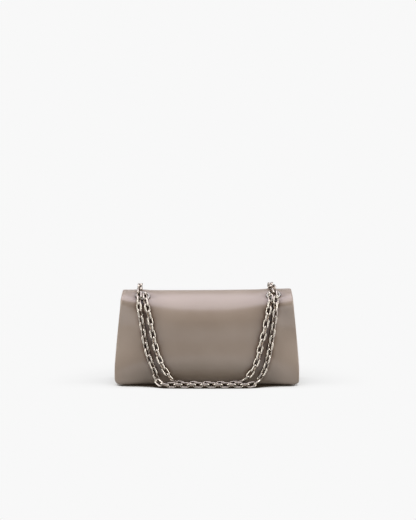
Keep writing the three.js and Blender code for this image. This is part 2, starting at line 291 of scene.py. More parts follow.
# How far from the bore's axis the chain leans, and where it runs under the flap
EYELET_EXIT = {"front": {"left": 2.6, "right": -3.0}, "back": {"left": 0.0, "right": 0.0}}
EYELET_ENTRY = 5.0
EYELET_ENTRY_BACK = 0.8
INSIDE_Z = 98.2


# Surfaces


def named(columns, rows):
    """Rows of a table as dictionaries, by the names of its columns."""
    return [dict(zip(columns, row)) for row in rows]


def spline(values, along):
    """A smooth curve through values at stations 0, 1, 2 and so on."""
    values = np.asarray(values, float)
    along = np.asarray(along, float)
    last = len(values) - 1
    i = np.clip(np.floor(along).astype(int), 0, last - 1)
    t = along - i
    before, here = values[np.maximum(i - 1, 0)], values[i]
    there, after = values[i + 1], values[np.minimum(i + 2, last)]
    leave, arrive = (there - before) / 2, (after - here) / 2
    cubic = 2 * here - 2 * there + leave + arrive
    square = 3 * there - 3 * here - 2 * leave - arrive
    return ((cubic * t + square) * t + leave) * t + here


class Surface:
    """A leather skin given by its sections."""

    def __init__(self, rows, dents=()):
        sections = named(SECTION, rows.values())
        self.last = len(sections) - 1
        self.column = {name: [section[name] for section in sections] for name in SECTION}
        self.dents = named(DENT, dents)

    def at(self, name, along):
        return spline(self.column[name], along)

    def point(self, across, along):
        """Points in millimetres: across from -1 to 1 between the side edges, along in stations."""
        across, along = np.broadcast_arrays(np.asarray(across, float), np.asarray(along, float))
        share = np.abs(across) ** PILLOW
        x = across * self.at("half", along)
        y = (1 - share) * self.at("mid_y", along) + share * self.at("end_y", along)
        z = (1 - share) * self.at("mid_z", along) + share * self.at("end_z", along)
        z = z * (1 + LEAN * across)
        for dent in self.dents:
            away = ((x - dent["x"]) / dent["wide"]) ** 2 + ((z - dent["z"]) / dent["tall"]) ** 2
            y = y + np.where(y < 0, dent["deep"] * np.exp(-away), 0)
        return np.stack([x, y, z], -1)

    def directions(self, across, along):
        """The direction onwards along the stations, and the outward normal."""
        step = 0.01
        along = np.minimum(along, self.last - step)
        across = np.minimum(across, 1 - step)
        here = self.point(across, along)
        right = self.point(across + step, along) - here
        onwards = self.point(across, along + step) - here
        return unit(onwards), unit(np.cross(right, onwards))

    def raised(self, across, along, lift):
        """A point that stands off the surface by lift, and the normal there."""
        normal = self.directions(across, along)[1]
        return self.point(across, along) + normal * lift, normal

    def station_at(self, x, z, start, stop):
        """Across and along where the surface has this x and this height, between two stations."""
        x, z = np.broadcast_arrays(np.asarray(x, float), np.asarray(z, float))
        low, high = np.full(x.shape, float(start)), np.full(x.shape, float(stop))
        rising = self.point(0, stop)[2] > self.point(0, start)[2]
        for _ in range(40):
            middle = (low + high) / 2
            below = self.point(x / self.at("half", middle), middle)[..., 2] < z
            low, high = np.where(below == rising, middle, low), np.where(below == rising, high, middle)
        return x / self.at("half", low), low


def unit(vectors):
    return vectors / np.linalg.norm(vectors, axis=-1, keepdims=True)


FLAP = Surface(FLAP_ROWS, DENTS)
FRONT = Surface(FRONT_ROWS)
BACK = Surface(BACK_ROWS)


def eyelet_seats():
    """Each eyelet's middle on the flap, its axis and the way onwards over the flap."""
    seats = {}
    for row, along in EYELET_AT.items():
        for side, x in EYELET_X[row].items():
            across = x / FLAP.at("half", along)
            onwards, normal = FLAP.directions(across, along)
            centre = FLAP.point(across, along) - EYELET_SINK[row] * normal
            seats[row, side] = {"centre": centre, "normal": normal, "onwards": onwards}
    return seats


SEATS = eyelet_seats()


def smoothstep(value, low, high):
    t = np.clip((value - low) / (high - low), 0, 1)
    return t * t * (3 - 2 * t)


def flattened(points):
    """Leather lies flat under an eyelet's flange and takes up its own curve again a little way off."""
    flat = points.copy()
    for seat in SEATS.values():
        offset = points - seat["centre"]
        rise = offset @ seat["normal"]
        rise = np.where(rise > 0, rise, EYELET_LIFT * rise)
        share = 1 - smoothstep(np.linalg.norm(offset, axis=-1), EYELET_FLANGE, EYELET_SEAT)
        flat -= (rise * share)[..., None] * seat["normal"]
    return flat


# Mesh helpers


def add_piece(name, mesh):
    piece = bpy.data.objects.new(name, mesh)
    bpy.context.scene.collection.objects.link(piece)
    return piece


def edge_steps(length, rim, step):
    """Shares of a length, evenly spaced but close together where the edges are rounded."""
    near = rim * (1 - np.cos(np.linspace(0, np.pi / 2, RIM_POINTS)))[:-1]
    middle = np.linspace(rim, length - rim, round((length - 2 * rim) / step) + 1)
    return np.concatenate([near, middle, length - near[::-1]]) / length


def edge_distance(points, axis):
    """How far each grid point lies from the nearer end of its own row or column."""
    steps = np.linalg.norm(np.diff(points, axis=axis), axis=-1)
    travelled = np.cumsum(steps, axis=axis)
    start = np.zeros_like(np.take(travelled, [0], axis=axis))
    travelled = np.concatenate([start, travelled], axis=axis)
    whole = np.take(travelled, [-1], axis=axis)
    return np.minimum(travelled, whole - travelled)


def padded_sheet(name, place, size, thickness, rim, step, material):
    """A closed sheet of padded leather with rounded edges, whose outer face is place(across, share)."""
    columns = 2 * edge_steps(size[0], rim, step) - 1
    rows = edge_steps(size[1], rim, step)
    across, share = np.meshgrid(columns, rows)
    outer = place(across, share)
    normal = unit(np.cross(np.gradient(outer, axis=1), np.gradient(outer, axis=0)))
    side = np.clip(1 - edge_distance(outer, 1) / rim, 0, 1)
    end = np.clip(1 - edge_distance(outer, 0) / rim, 0, 1)
    near = np.minimum(np.hypot(side, end), 1)
    sink = (thickness / 2 * (1 - np.sqrt(1 - near**2)))[..., None]
    top = outer - normal * sink
    bottom = outer - normal * (thickness - sink)
    tall, wide = across.shape
    corner = (np.arange(tall - 1)[:, None] * wide + np.arange(wide - 1)).reshape(-1)
    quads = np.stack([corner, corner + 1, corner + wide + 1, corner + wide], -1)
    faces = np.concatenate([quads, quads[:, ::-1] + tall * wide])
    mesh = bpy.data.meshes.new(name)
    mesh.from_pydata((np.concatenate([top, bottom]).reshape(-1, 3) * MM).tolist(), [], faces.tolist())
    work = bmesh.new()
    work.from_mesh(mesh)
    bmesh.ops.remove_doubles(work, verts=work.verts, dist=1e-7)
    for face in work.faces:
        face.smooth = True
    work.to_mesh(mesh)
    work.free()
    mesh.materials.append(material)
    return add_piece(name, mesh)


def evaluated_copy(source, name):
    """A plain mesh piece of what an object's modifiers make, in place of the object."""
    depsgraph = bpy.context.evaluated_depsgraph_get()
    mesh = bpy.data.meshes.new_from_object(source.evaluated_get(depsgraph), depsgraph=depsgraph)
    bpy.data.objects.remove(source)
    return add_piece(name, mesh)


# Materials


def new_node(tree, kind, inputs=None, **settings):
    """A node with its settings, and with its inputs linked or set."""
    node = tree.nodes.new(kind)
    for key, value in settings.items():
        setattr(node, key, value)
    for key, value in (inputs or {}).items():
        if isinstance(value, bpy.types.NodeSocket):
            tree.links.new(value, node.inputs[key])
        else:
            node.inputs[key].default_value = value
    return node


def math_node(tree, operation, *values):
    return new_node(tree, "ShaderNodeMath", dict(enumerate(values)), operation=operation).outputs[0]


def shader_group(name, inputs, outputs):
    """An empty shader node group. An input with no number is a vector, and outputs are numbers."""
    group = bpy.data.node_groups.new(name, "ShaderNodeTree")
    for label, value in inputs.items():
        if value is None:
            group.interface.new_socket(label, in_out="INPUT", socket_type="NodeSocketVector")
        else:
            socket = group.interface.new_socket(label, in_out="INPUT", socket_type="NodeSocketFloat")
            socket.default_value = value
    for label in outputs:
        group.interface.new_socket(label, in_out="OUTPUT", socket_type="NodeSocketFloat")
    return group, group.nodes.new("NodeGroupInput"), group.nodes.new("NodeGroupOutput")


def leather_grain_group():
    """Fine pebbled grain with pores, and slow changes of tone across the hide."""
    group, given, out = shader_group(
        "leather_grain", {"Vector": None, "Grain Size": 0.0011, "Tone Size": 0.05}, ["Height", "Tone"]
    )
    place = given.outputs["Vector"]
    cells = math_node(group, "DIVIDE", 1.0, given.outputs["Grain Size"])
    patches = math_node(group, "DIVIDE", 1.0, given.outputs["Tone Size"])
    pebbles = new_node(
        group,
        "ShaderNodeTexVoronoi",
        {"Vector": place, "Scale": cells, "Smoothness": 0.6},
        feature="SMOOTH_F1",
    )
    pores = new_node(group, "ShaderNodeTexNoise", {"Vector": place, "Scale": cells, "Detail": 4.0})
    tone = new_node(group, "ShaderNodeTexNoise", {"Vector": place, "Scale": patches, "Detail": 5.0})
    height = math_node(group, "MULTIPLY_ADD", pebbles.outputs["Distance"], -0.6, pores.outputs["Fac"])
    group.links.new(height, out.inputs["Height"])
    group.links.new(tone.outputs["Fac"], out.inputs["Tone"])
    return group


def handling_group():
    """Faint smudges on polished metal."""
    group, given, out = shader_group("handling", {"Vector": None, "Smudge Size": 0.006}, ["Smudge"])
    place = given.outputs["Vector"]
    scale = math_node(group, "DIVIDE", 1.0, given.outputs["Smudge Size"])
    noise = new_node(group, "ShaderNodeTexNoise", {"Vector": place, "Scale": scale, "Detail": 6.0})
    group.links.new(noise.outputs["Fac"], out.inputs["Smudge"])
    return group


def painted_shade_group():
    """Painted shade: how open a spot is to the room, so that close inner corners are painted dull and
    dark.
    """
    group, given, out = shader_group("painted_recess_shade", {"Reach": 0.005}, ["Open"])
    reach = given.outputs["Reach"]
    room = new_node(group, "ShaderNodeAmbientOcclusion", {"Distance": reach}, samples=PAINTED_SHADE_SAMPLES)
    group.links.new(room.outputs["AO"], out.inputs["Open"])
    return group


def new_material(name):
    """A material, its tree, its surface and the places on it."""
    material = bpy.data.materials.new(name)
    material.use_nodes = True
    tree = material.node_tree
    surface = tree.nodes["Principled BSDF"]
    place = tree.nodes.new("ShaderNodeTexCoord").outputs["Object"]
    return material, tree, surface, place


def place_group(tree, group, place, **values):
    """A shader group in a tree, with numbers for its inputs."""
    node = new_node(tree, "ShaderNodeGroup", node_tree=group)
    tree.links.new(place, node.inputs["Vector"])
    for key, value in values.items():
        node.inputs[key.replace("_", " ").title()].default_value = value
    return node


def ramp(tree, value, stops):
    """A colour ramp from (position, colour) pairs."""
    node = new_node(tree, "ShaderNodeValToRGB", {"Fac": value})
    elements = node.color_ramp.elements
    while len(elements) < len(stops):
        elements.new(0.5)
    for element, (position, colour) in zip(elements, stops):
        element.position = position
        element.color = (*colour, 1)
    return node.outputs["Color"]


def mapped(tree, value, ends, low=0.0, high=1.0):
    """A value between two ends brought to the range from low to high, and held there."""
    numbers = {"From Min": ends[0], "From Max": ends[1], "To Min": low, "To Max": high}
    return new_node(tree, "ShaderNodeMapRange", {"Value": value, **numbers}).outputs["Result"]


def multiplied(tree, first, second, share=1.0):
    """A colour times a second one, by a share."""
    inputs = {0: share, 6: first, 7: second}
    return new_node(tree, "ShaderNodeMix", inputs, data_type="RGBA", blend_type="MULTIPLY").outputs[2]


def brown_shades(stops, warmth=0.0):
    """Stops of a ramp from (position, level) pairs: grey at the last, and browner as they darken."""
    top = stops[-1][1]
    powers = (1.0 - warmth, 1.0, 1.0 + warmth)
    return [(position, [top * (level / top) ** power for power in powers]) for position, level in stops]


def with_painted_shade(tree, painted_recess_shade, reach, colour, stops):
    """A colour with painted shade, darker in close corners."""
    corners = new_node(tree, "ShaderNodeGroup", node_tree=painted_recess_shade)
    corners.inputs["Reach"].default_value = reach
    left = ramp(tree, corners.outputs["Open"], brown_shades(stops, PAINTED_SHADE_WARMTH))
    return multiplied(tree, colour, left)


def bumped(tree, surface, height, strength, depth):
    """Gives a surface the relief of a height."""
    bump = new_node(tree, "ShaderNodeBump", {"Height": height, "Strength": strength, "Distance": depth})
    tree.links.new(bump.outputs["Normal"], surface.inputs["Normal"])


def leather_material(
    name, grain, painted_recess_shade, dark, light, roughness, specular, coat, grain_size, grain_depth
):
    """Satin leather: its tone and gloss drift over the hide, with painted shade beside what lies on it
    and in close corners.
    """
    material, tree, surface, place = new_material(name)
    hide = place_group(tree, grain, place, grain_size=grain_size, tone_size=HIDE_TONE_SIZE)
    tone = hide.outputs["Tone"]
    colour = ramp(tree, tone, [(0.35, dark), (0.65, light)])
    shaded = with_painted_shade(tree, painted_recess_shade, LEATHER_REACH, colour, LEATHER_PAINTED_SHADE)
    tree.links.new(shaded, surface.inputs["Base Color"])
    rough = mapped(tree, tone, NOISE_ENDS, roughness - HIDE_DRIFT, roughness + HIDE_DRIFT)
    tree.links.new(rough, surface.inputs["Roughness"])
    surface.inputs["Specular IOR Level"].default_value = specular
    surface.inputs["Coat Weight"].default_value = coat
    surface.inputs["Coat Roughness"].default_value = COAT_ROUGHNESS
    bumped(tree, surface, hide.outputs["Height"], strength=0.5, depth=grain_depth)
    return material


def metal_material(name, handling, painted_recess_shade, reach, colour, roughness):
    """Warm nickel, duller where it is handled, with painted shade between its parts."""
    material, tree, surface, place = new_material(name)
    smudge = place_group(tree, handling, place, smudge_size=SMUDGE_SIZE).outputs["Smudge"]
    dull = tuple(SMUDGE_TINT * part for part in colour)
    tint = ramp(tree, smudge, [(0.35, dull), (0.6, colour)])
    shaded = with_painted_shade(tree, painted_recess_shade, reach, tint, METAL_PAINTED_SHADE)
    tree.links.new(shaded, surface.inputs["Base Color"])
    surface.inputs["Metallic"].default_value = 1.0
    rough = mapped(tree, smudge, NOISE_ENDS, roughness, roughness + SMUDGE_ROUGHNESS)
    tree.links.new(rough, surface.inputs["Roughness"])
    return material


def thread_material():
    """Waxed thread with its twist, darker where the twist's relief is low: painted shade in its
    grooves.
    """
    material, tree, surface, place = new_material("waxed_thread")
    waves = new_node(tree, "ShaderNodeTexWave", {"Vector": place, "Scale": 900.0, "Distortion": 1.0})
    twist = waves.outputs["Fac"]
    colour = ramp(tree, twist, [(0.2, THREAD_DARK), (0.8, THREAD_LIGHT)])
    tree.links.new(colour, surface.inputs["Base Color"])
    surface.inputs["Roughness"].default_value = THREAD_ROUGHNESS
    bumped(tree, surface, twist, strength=0.4, depth=THREAD_RELIEF)
    return material


# Leather pieces


def flap_place(across, share):
    """The flap's outer face, with its hem's corners rounded."""
    corner = np.clip((np.abs(across) - 1 + HEM_CORNER_WIDTH) / HEM_CORNER_WIDTH, 0, 1)
    rise = np.where(across < 0, HEM_CORNER_RISE["left"], HEM_CORNER_RISE["right"])
    start = rise * (1 - np.sqrt(1 - corner**2))
    return flattened(FLAP.point(across, start + share * (FLAP.last - start)))


def panel_place(surface):
    return lambda across, share: surface.point(across, share * surface.last)


def gusset_place(sign):
    """A gusset's outer face: sewn to the front and the back panel, and tucked in between them."""
    rows = named(GUSSET, GUSSET_ROWS)
    last = len(rows) - 1

    def place(across, share):
        z, reach, tuck = (spline([row[name] for row in rows], share * last) for name in GUSSET)
        x = sign * (reach - tuck * (1 - across**2) ** GUSSET_FOLD)
        seam = PANEL_THICKNESS + 2 * GAP
        front = FRONT.raised(*FRONT.station_at(x, z, 0, FRONT.last), -seam)[0][..., 1]
        back = BACK.raised(*BACK.station_at(x, z, 0, BACK.last), -seam)[0][..., 1]
        return np.stack([x, front + (back - front) * (1 + sign * across) / 2, z], -1)

    return place


def base_place(across, share):
    """The flat underside, seen from below, with its corners rounded."""
    half_depth = (BASE_BACK - BASE_FRONT) / 2
    x, y = across * BASE_LENGTH / 2, (1 - 2 * share) * half_depth
    over_x = np.maximum(np.abs(x) - BASE_LENGTH / 2 + BASE_CORNER, 0)
    over_y = np.maximum(np.abs(y) - half_depth + BASE_CORNER, 0)
    pull = np.maximum(over_x, over_y) / np.maximum(np.hypot(over_x, over_y), 1e-9)
    round_x = x + np.sign(x) * over_x * (pull - 1) * (over_y > 0)
    round_y = y + np.sign(y) * over_y * (pull - 1) * (over_x > 0)
    return np.stack([round_x, round_y + BASE_FRONT + half_depth, np.zeros_like(x)], -1)


def cut_holes(piece):
    """Cuts the holes that the eyelets sit in."""
    work = bmesh.new()
    for seat in SEATS.values():
        turn = Vector((0, 0, 1)).rotation_difference(Vector(seat["normal"])).to_matrix().to_4x4()
        turn.translation = Vector(seat["centre"]) * MM
        radius = (EYELET_BARREL + GAP) * MM
        bmesh.ops.create_cone(
            work,
            cap_ends=True,
            segments=HOLE_SIDES,
            radius1=radius,
            radius2=radius,
            depth=4 * FLAP_THICKNESS * MM,
            matrix=turn,
        )
    mesh = bpy.data.meshes.new("hole_cutters")
    work.to_mesh(mesh)
    work.free()
    cutters = add_piece("hole_cutters", mesh)
    cut = piece.modifiers.new("holes", "BOOLEAN")
    cut.operation = "DIFFERENCE"
    cut.solver = "EXACT"
    cut.object = cutters
    finished = evaluated_copy(piece, piece.name)
    bpy.data.objects.remove(cutters)
    return finished


# Geometry Nodes trees


def geometry_tree(name, inputs):
    """A Geometry Nodes tree with a geometry input and output and the named inputs."""
    tree = bpy.data.node_groups.new(name, "GeometryNodeTree")
    tree.interface.new_socket("Geometry", in_out="INPUT", socket_type="NodeSocketGeometry")
    for label, kind in inputs.items():
        tree.interface.new_socket(label, in_out="INPUT", socket_type=kind)
    tree.interface.new_socket("Geometry", in_out="OUTPUT", socket_type="NodeSocketGeometry")
    return tree, tree.nodes.new("NodeGroupInput").outputs


def finish_tree(tree, geometry, material):
    """Realizes the instances, shades them smooth and gives them their material."""
    real = new_node(tree, "GeometryNodeRealizeInstances", {"Geometry": geometry}).outputs["Geometry"]
    smooth = new_node(tree, "GeometryNodeSetShadeSmooth", {"Geometry": real}).outputs["Geometry"]
    dressed = new_node(tree, "GeometryNodeSetMaterial", {"Geometry": smooth, "Material": material})
    out = tree.nodes.new("NodeGroupOutput")
    tree.links.new(dressed.outputs["Geometry"], out.inputs["Geometry"])


def grow(name, tree, guide, values):
    """Runs a tree on a guide mesh and returns the result as a plain mesh piece."""
    source = add_piece(name + "_guide", guide)
    modifier = source.modifiers.new(tree.name, "NODES")
    modifier.node_group = tree
    for item in tree.interface.items_tree:
        if item.in_out == "INPUT" and item.name in values:
            modifier[item.identifier] = values[item.name]
    return evaluated_copy(source, name)


def guide_mesh(name, points, vectors, edges=()):
    """Points in millimetres with a vector attribute for each name."""
    mesh = bpy.data.meshes.new(name)
    mesh.from_pydata((np.asarray(points) * MM).tolist(), list(edges), [])
    for label, values in vectors.items():
        attribute = mesh.attributes.new(label, "FLOAT_VECTOR", "POINT")
        attribute.data.foreach_set("vector", np.asarray(values, float).reshape(-1))
    return mesh


def vector_attribute(tree, name):
    kind = "GeometryNodeInputNamedAttribute"
    return new_node(tree, kind, {"Name": name}, data_type="FLOAT_VECTOR").outputs["Attribute"]


def circle(tree, sides, radius):
    kind = "GeometryNodeCurvePrimitiveCircle"
    return new_node(tree, kind, {"Resolution": sides, "Radius": radius}, mode="RADIUS").outputs["Curve"]


def swept(tree, path, section):
    """A section drawn along a path."""
    inputs = {"Curve": path, "Profile Curve": section}
    return new_node(tree, "GeometryNodeCurveToMesh", inputs).outputs["Mesh"]


def transformed(tree, geometry, change, x=0.0, y=0.0, z=0.0):
    """Geometry with a Scale or a Translation of x, y and z."""
    amounts = new_node(tree, "ShaderNodeCombineXYZ", {"X": x, "Y": y, "Z": z})
    inputs = {"Geometry": geometry, change: amounts.outputs["Vector"]}
    return new_node(tree, "GeometryNodeTransform", inputs).outputs["Geometry"]


def along_and_facing(tree):
    """A rotation with X along the guide and Z the way that its points face."""
    along = tree.nodes.new("GeometryNodeInputTangent").outputs["Tangent"]
    axes = {"Primary Axis": along, "Secondary Axis": vector_attribute(tree, "facing")}
    kind = "FunctionNodeAxesToRotation"
    return new_node(tree, kind, axes, primary_axis="X", secondary_axis="Z").outputs["Rotation"]


def on_points(tree, points, shape, rotation):
    """A copy of a shape on every point."""
    inputs = {"Points": points, "Instance": shape, "Rotation": rotation}
    return new_node(tree, "GeometryNodeInstanceOnPoints", inputs).outputs["Instances"]


def chain_tree():
    """Links hung in each other along a closed guide, every second one turned by a quarter."""
    tree, given = geometry_tree(
        "chain_links",
        {
            "Link Count": "NodeSocketInt",
            "Link Length": "NodeSocketFloat",
            "Link Width": "NodeSocketFloat",
            "Wire": "NodeSocketFloat",
            "Metal": "NodeSocketMaterial",
        },
    )
    loop = new_node(tree, "GeometryNodeMeshToCurve", {"Mesh": given["Geometry"]}).outputs["Curve"]
    spacing = {"Curve": loop, "Count": given["Link Count"]}
    stations = new_node(tree, "GeometryNodeResampleCurve", spacing, mode="COUNT")
    length = math_node(tree, "SUBTRACT", given["Link Length"], given["Wire"])
    width = math_node(tree, "SUBTRACT", given["Link Width"], given["Wire"])
    sides = {"Width": length, "Height": width}
    oblong = new_node(tree, "GeometryNodeCurvePrimitiveQuadrilateral", sides, mode="RECTANGLE")
    bend = math_node(tree, "MULTIPLY", width, LINK_CORNER)
    corners = {"Curve": oblong.outputs["Curve"], "Count": LINK_CORNER_STEPS, "Radius": bend}
    rounded = new_node(tree, "GeometryNodeFilletCurve", corners, mode="POLY")
    radius = math_node(tree, "MULTIPLY", given["Wire"], 0.5)
    link = swept(tree, rounded.outputs["Curve"], circle(tree, LINK_SIDES, radius))
    odd = math_node(tree, "MODULO", tree.nodes.new("GeometryNodeInputIndex").outputs["Index"], 2.0)
    lean = math_node(tree, "MULTIPLY_ADD", odd, math.pi / 2, -math.radians(LINK_LEAN))
    turn = new_node(tree, "FunctionNodeAxisAngleToRotation", {"Axis": (1.0, 0.0, 0.0), "Angle": lean})
    turns = {"Rotation": along_and_facing(tree), "Rotate By": turn.outputs["Rotation"]}
    turned = new_node(tree, "FunctionNodeRotateRotation", turns, rotation_space="LOCAL")
    links = on_points(tree, stations.outputs["Curve"], link, turned.outputs["Rotation"])
    finish_tree(tree, links, given["Metal"])
    return tree


def ring(tree, radius, half_width, half_height, lift):
    """A ring with an oval section, round the Z axis."""
    section = circle(tree, RING_SECTION_SIDES, 1.0)
    oval = transformed(tree, section, "Scale", half_width, half_height, 1.0)
    band = swept(tree, circle(tree, RING_SIDES, radius), oval)
    return transformed(tree, band, "Translation", z=lift)


def eyelet_tree():
    """A domed flange and the barrel under it, set on every point of the guide."""
    tree, given = geometry_tree(
        "eyelets",
        {
            "Bore": "NodeSocketFloat",
            "Flange": "NodeSocketFloat",
            "Dome": "NodeSocketFloat",
            "Leather": "NodeSocketFloat",
            "Metal": "NodeSocketMaterial",
        },
    )
    breadth = math_node(tree, "SUBTRACT", given["Flange"], given["Bore"])
    half_breadth = math_node(tree, "MULTIPLY", breadth, 0.5)
    middle = math_node(tree, "ADD", given["Bore"], half_breadth)
    half_dome = math_node(tree, "MULTIPLY", given["Dome"], 0.5)
    flange = ring(tree, middle, half_breadth, half_dome, half_dome)
    wall = math_node(tree, "MULTIPLY", breadth, EYELET_WALL)
    barrel_radius = math_node(tree, "ADD", given["Bore"], wall)
    half_barrel = math_node(tree, "MULTIPLY_ADD", given["Leather"], 0.5, given["Dome"])
    barrel_lift = math_node(tree, "MULTIPLY", given["Leather"], -0.5)
    barrel = ring(tree, barrel_radius, wall, half_barrel, barrel_lift)
    both = tree.nodes.new("GeometryNodeJoinGeometry")
    tree.links.new(flange, both.inputs["Geometry"])
    tree.links.new(barrel, both.inputs["Geometry"])
    way = {"Vector": vector_attribute(tree, "facing")}
    upright = new_node(tree, "FunctionNodeAlignRotationToVector", way, axis="Z")
    placed = on_points(tree, given["Geometry"], both.outputs["Geometry"], upright.outputs["Rotation"])
    finish_tree(tree, placed, given["Metal"])
    return tree


def stitch_tree():
    """Short stitches, sunk at both ends, along a guide line."""
    tree, given = geometry_tree(
        "stitches",
        {
            "Stitch Pitch": "NodeSocketFloat",
            "Stitch Length": "NodeSocketFloat",
            "Thread": "NodeSocketFloat",
            "Material": "NodeSocketMaterial",
        },
    )
    seam = new_node(tree, "GeometryNodeMeshToCurve", {"Mesh": given["Geometry"]}).outputs["Curve"]
    spacing = {"Curve": seam, "Length": given["Stitch Pitch"]}
    stations = new_node(tree, "GeometryNodeResampleCurve", spacing, mode="LENGTH")
    ball = new_node(tree, "GeometryNodeMeshUVSphere", {"Segments": 8, "Rings": 6, "Radius": 0.5})
    thread = given["Thread"]
    stitch = transformed(tree, ball.outputs["Mesh"], "Scale", given["Stitch Length"], thread, thread)
    placed = on_points(tree, stations.outputs["Curve"], stitch, along_and_facing(tree))
    finish_tree(tree, placed, given["Material"])
    return tree


# The chain's route: points with the way that the chain faces there


def eyelet_exit(row, side):
    """Where the chain leans against the bore, at the height of the leather."""
    return SEATS[row, side]["centre"] + np.array([EYELET_EXIT[row][side], 0.0, 0.0])


def out_of_eyelet(row, side):
    """From inside the flap, round the flange's lip and onwards."""
    centre = eyelet_exit(row, side)
    normal, onwards = SEATS[row, side]["normal"], SEATS[row, side]["onwards"]
    route = [(centre - onwards * EYELET_ENTRY_BACK - normal * EYELET_ENTRY, onwards)]
    for degrees in (180, 150, 120, 90):
        turn = math.radians(degrees)
        spoke = normal * math.sin(turn) - onwards * math.cos(turn)
        route.append((centre - onwards * LIP_OUT + spoke * LIP_BEND, spoke))
    return route


def over_the_ridge(side):
    """The outer strand's way from a back eyelet over the ridge."""
    route = []
    for row in named(OVER_RIDGE, RIDGE_ROWS):
        across = row[side] / FLAP.at("half", row["along"])
        route.append(FLAP.raised(across, row["along"], row["lift"]))
    return route


def down_the_front(rows, side, floor, facing):
    """A strand's way down the flap and on to the floor, on one side."""
    route = []
    for row in named(STRAND, rows):
        point, normal = FLAP.raised(*FLAP.station_at(row[side], row["z"], 0, RIDGE), row["lift"])
        if route and point[1] > route[-1][0][1]:  # below the belly the chain hangs straight down
            point[1], point[2] = route[-1][0][1], row["z"]
        route.append((point, normal))
    for row in named(LYING, floor):
        route.append((np.array([row[side], row["y"], row["z"]]), np.array(facing)))
    return route


def under_the_flap(side, facing):
    """Halfway between the front and the back eyelet, inside the bag."""
    middle = (eyelet_exit("front", side) + eyelet_exit("back", side)) / 2
    return np.array([middle[0], middle[1], INSIDE_Z]), np.array([0.0, 0.0, facing])


def chain_route():
    """The whole loop: the inner strand from left to right, and the outer strand back."""
    inner, outer = {}, {}
    for side in ("left", "right"):
        inner[side] = out_of_eyelet("front", side)
        inner[side] += down_the_front(INNER_ROWS, side, INNER_FLOOR, INNER_FACING)
        outer[side] = out_of_eyelet("back", side) + over_the_ridge(side)
        outer[side] += down_the_front(OUTER_ROWS, side, OUTER_FLOOR, OUTER_FACING)
    loop = [under_the_flap("left", 1.0)] + inner["left"] + inner["right"][::-1]
    loop += [under_the_flap("right", 1.0)] + outer["right"] + outer["left"][::-1]
    return np.array([point for point, _ in loop]), np.array([facing for _, facing in loop])


def smooth_loop(points, per_span):
    """A closed curve through the points, with even speed through long and short spans."""
    before, there, after = np.roll(points, 1, 0), np.roll(points, -1, 0), np.roll(points, -2, 0)
    gap = np.sqrt(np.linalg.norm(there - points, axis=1))[:, None]
    gap_before, gap_after = np.roll(gap, 1, 0), np.roll(gap, -1, 0)
    onwards = (there - points) / gap
    leave = gap * ((points - before) / gap_before - (there - before) / (gap_before + gap) + onwards)
    arrive = gap * (onwards - (after - points) / (gap + gap_after) + (after - there) / gap_after)
    t = (np.arange(per_span) / per_span)[None, :, None]
    start, end = points[:, None], there[:, None]
    leave, arrive = leave[:, None], arrive[:, None]
    curve = (2 * t**3 - 3 * t**2 + 1) * start + (t**3 - 2 * t**2 + t) * leave
    curve = curve + (3 * t**2 - 2 * t**3) * end + (t**3 - t**2) * arrive
    return curve.reshape(-1, 3)


def chain_piece(metal):
    """The links of the whole chain."""
    points, facing = chain_route()
    curve = smooth_loop(points, ROUTE_STEPS)
    curve[:, 2] = np.maximum(curve[:, 2], FLOOR_LIE)  # nothing sinks into the floor
    share = (np.arange(ROUTE_STEPS) / ROUTE_STEPS)[None, :, None]
    ahead = np.roll(facing, -1, 0)
    facing = ((1 - share) * facing[:, None] + share * ahead[:, None]).reshape(-1, 3)
    curve, facing = np.roll(curve, FIRST_LINK, 0), np.roll(facing, FIRST_LINK, 0)
    length = np.linalg.norm(np.roll(curve, -1, 0) - curve, axis=1).sum()
    count = 2 * round(length / LINK_PITCH / 2)
    pitch = length / count
    edges = [(i, (i + 1) % len(curve)) for i in range(len(curve))]
    values = {
        "Link Count": count,
        "Link Length": (pitch + 2 * LINK_WIRE) * MM,
        "Link Width": LINK_WIDTH * MM,
        "Wire": LINK_WIRE * MM,
        "Metal": metal,
    }
    guide = guide_mesh("chain_guide", curve, {"facing": facing}, edges)
    return grow("chain_links", chain_tree(), guide, values)


def eyelet_piece(metal):
    """The four eyelets."""
    centres = [seat["centre"] for seat in SEATS.values()]
    normals = [seat["normal"] for seat in SEATS.values()]
    values = {
        "Bore": EYELET_BORE * MM,
        "Flange": EYELET_FLANGE * MM,
        "Dome": EYELET_HEIGHT * MM,
        "Leather": FLAP_THICKNESS * MM,
        "Metal": metal,
    }
    guide = guide_mesh("eyelet_guide", centres, {"facing": normals})
    return grow("eyelet_rings", eyelet_tree(), guide, values)


def lap_stitches(thread):
    """The row of stitches that sews the flap's tail to the back panel."""
    across = np.linspace(-SEAM_ACROSS, SEAM_ACROSS, SEAM_POINTS)
    points, normals = FLAP.raised(across, FLAP.last - SEAM_IN, STITCH_LIFT)
    edges = [(i, i + 1) for i in range(len(points) - 1)]
    values = {
        "Stitch Pitch": STITCH_PITCH * MM,
        "Stitch Length": STITCH_LENGTH * MM,
        "Thread": STITCH_THREAD * MM,
        "Material": thread,
    }
    guide = guide_mesh("stitch_guide", points, {"facing": normals}, edges)
    return grow("lap_stitches", stitch_tree(), guide, values)


# Camera, light and floor


def add_camera():
    tilt = math.radians(CAMERA_ELEVATION)
    back = Vector((0, -math.cos(tilt), math.sin(tilt)))
    data = bpy.data.cameras.new("camera")
    data.sensor_width = SENSOR
    data.lens = SENSOR * CAMERA_DISTANCE / (PHOTO_HEIGHT * PIXEL)
    camera = bpy.data.objects.new("camera", data)
    camera.location = (Vector(CAMERA_TARGET) + back * CAMERA_DISTANCE) * MM
    camera.rotation_euler = back.to_track_quat("Z", "Y").to_euler()
    bpy.context.scene.collection.objects.link(camera)
    bpy.context.scene.camera = camera


